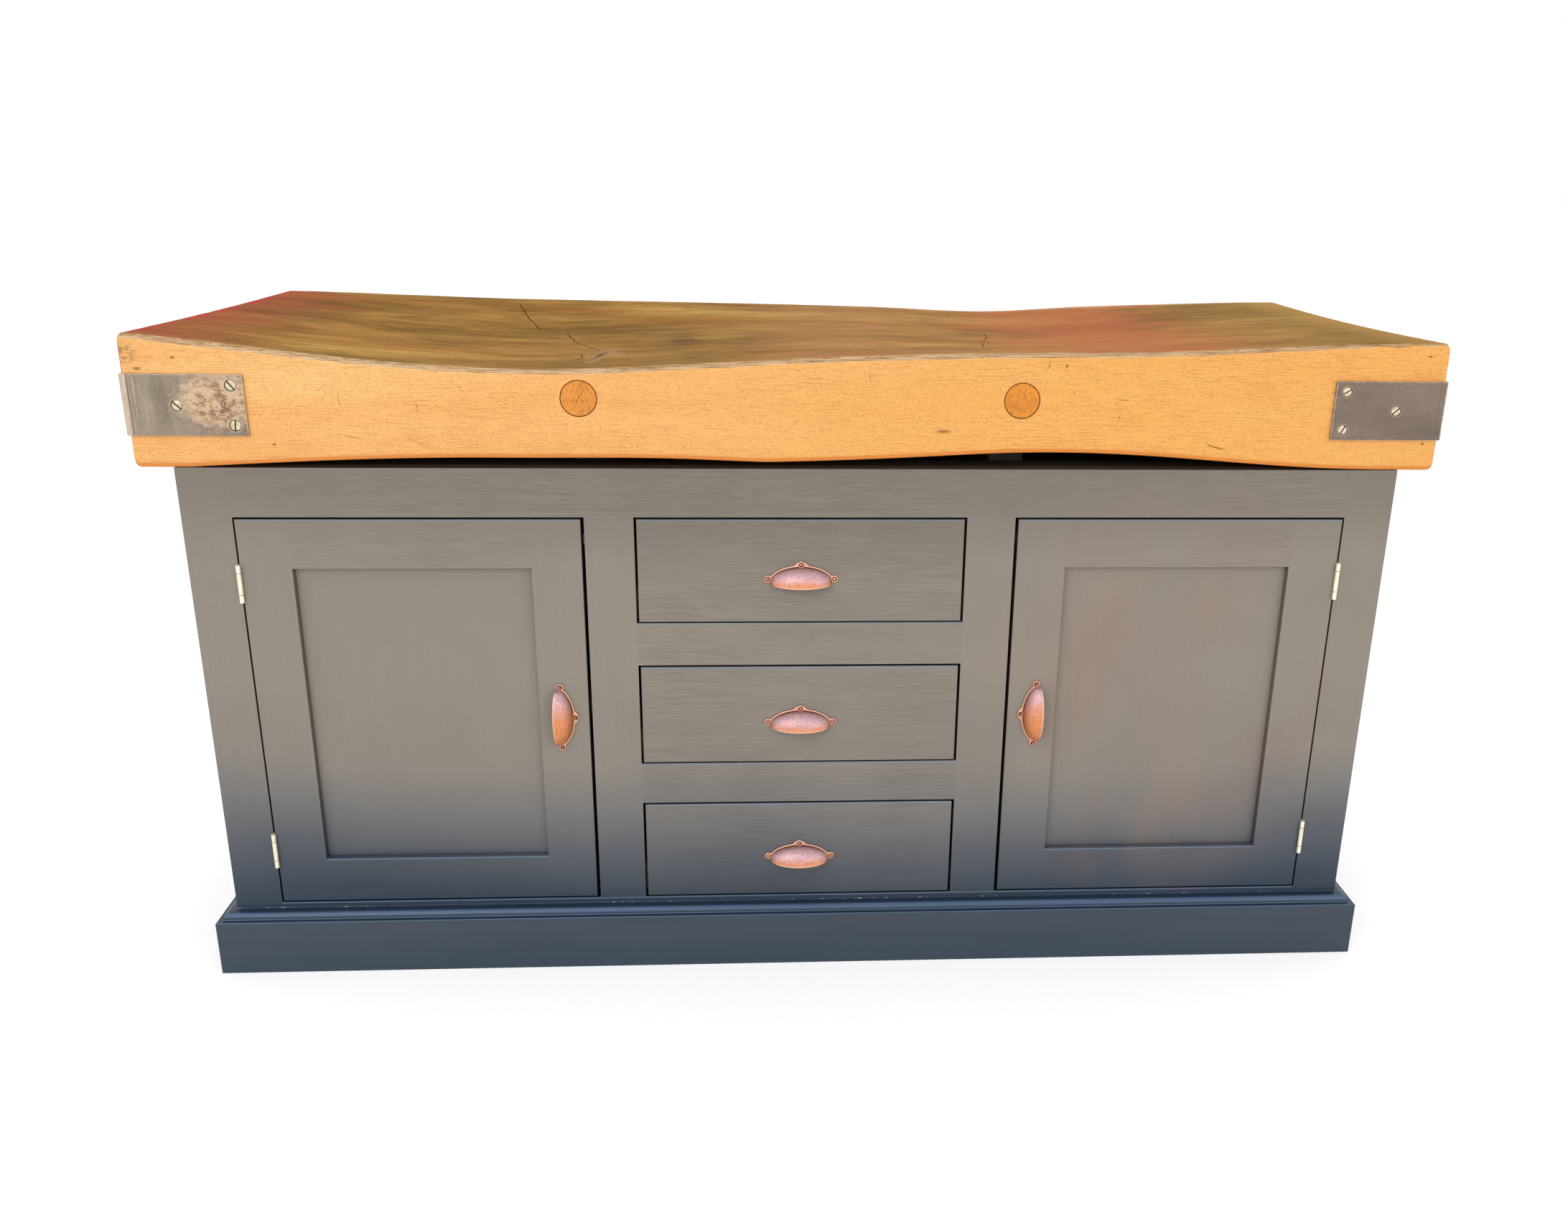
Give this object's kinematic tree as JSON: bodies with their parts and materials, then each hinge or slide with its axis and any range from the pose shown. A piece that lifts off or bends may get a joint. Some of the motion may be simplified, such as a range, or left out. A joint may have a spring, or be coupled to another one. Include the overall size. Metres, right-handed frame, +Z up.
{
  "type": "kitchen island unit",
  "caption": "Free-standing kitchen island: worn butcher's block over a painted cupboard with framed doors on flush hinges, dovetailed drawers, cup pulls and a moulded plinth.",
  "frame": {"origin": "on the floor, under the middle of the unit's bounding box", "axes": "+X to the right along the front, +Y to the back, +Z up; the doors and drawers face -Y"},
  "size_m": [1.68, 0.656, 0.8902],
  "materials": {
    "painted_carcass": "satin warm dark grey paint, brushed over open pine grain",
    "painted_doors": "satin warm dark grey paint, brushed over open pine grain",
    "painted_drawer_fronts": "satin warm dark grey paint, brushed over open pine grain",
    "bare_pine": "planed, unfinished",
    "drawer_bottom_ply": "sanded, unfinished",
    "butchers_block": "old sycamore, worn and oiled",
    "end_grain_plug": "end grain, oiled",
    "worn_steel": "dull grey-brown patina with rust",
    "bright_steel": "worn, dull",
    "catch_steel": "zinc plated",
    "antique_copper": "antique copper, mottled, with bright edges",
    "copper_screws": "copper plated",
    "brass": "pale lacquered brass"
  },
  "bodies": {
    "root": {"stile_left": "painted_carcass", "stile_right": "painted_carcass", "mullions": "painted_carcass", "rail_top": "painted_carcass", "rail_bottom": "painted_carcass", "drawer_rails": "painted_carcass", "side_panel_left": "painted_carcass", "side_panel_right": "painted_carcass", "back_boards": "painted_carcass", "bottom_board": "bare_pine", "partitions": "bare_pine", "bearers": "bare_pine", "shelves": "bare_pine", "shelf_pegs": "brass", "plinth_front": "painted_carcass", "plinth_sides": "painted_carcass", "plinth_back": "painted_carcass", "drawer_runners": "bare_pine", "drawer_guides": "bare_pine", "frame_leaves": "brass", "hinge_pins": "brass", "frame_screws": "brass", "door_catches": "catch_steel", "block_front_board": "butchers_block", "block_core_planks": "butchers_block", "block_back_board": "butchers_block", "tie_rods": "bright_steel", "rod_plugs": "end_grain_plug", "corner_straps": "worn_steel", "strap_screws": "bright_steel"},
    "door_left": {"door_left_stiles": "painted_doors", "door_left_rails": "painted_doors", "door_left_panel": "painted_doors", "door_left_leaves": "brass", "door_left_pull": "antique_copper", "door_left_fixings": "copper_screws"},
    "door_right": {"door_right_stiles": "painted_doors", "door_right_rails": "painted_doors", "door_right_panel": "painted_doors", "door_right_leaves": "brass", "door_right_pull": "antique_copper", "door_right_fixings": "copper_screws"},
    "drawer_1": {"drawer_1_front": "painted_drawer_fronts", "drawer_1_sides": "bare_pine", "drawer_1_back": "bare_pine", "drawer_1_bottom": "drawer_bottom_ply", "drawer_1_pull": "antique_copper", "drawer_1_screws": "copper_screws"},
    "drawer_2": {"drawer_2_front": "painted_drawer_fronts", "drawer_2_sides": "bare_pine", "drawer_2_back": "bare_pine", "drawer_2_bottom": "drawer_bottom_ply", "drawer_2_pull": "antique_copper", "drawer_2_screws": "copper_screws"},
    "drawer_3": {"drawer_3_front": "painted_drawer_fronts", "drawer_3_sides": "bare_pine", "drawer_3_back": "bare_pine", "drawer_3_bottom": "drawer_bottom_ply", "drawer_3_pull": "antique_copper", "drawer_3_screws": "copper_screws"}
  },
  "joints": [
    {"name": "door_left_hinge", "type": "hinge", "parent": "root", "child": "door_left", "pos_m": [-0.7261, -0.3083, 0.3778], "axis": [0, 0, -1], "range_deg": [0, 170]},
    {"name": "door_right_hinge", "type": "hinge", "parent": "root", "child": "door_right", "pos_m": [0.7261, -0.3083, 0.3778], "axis": [0, 0, 1], "range_deg": [0, 170]},
    {"name": "drawer_1_slide", "type": "slide", "parent": "root", "child": "drawer_1", "axis": [0, -1, 0], "range_m": [0, 0.36]},
    {"name": "drawer_2_slide", "type": "slide", "parent": "root", "child": "drawer_2", "axis": [0, -1, 0], "range_m": [0, 0.36]},
    {"name": "drawer_3_slide", "type": "slide", "parent": "root", "child": "drawer_3", "axis": [0, -1, 0], "range_m": [0, 0.36]}
  ]
}
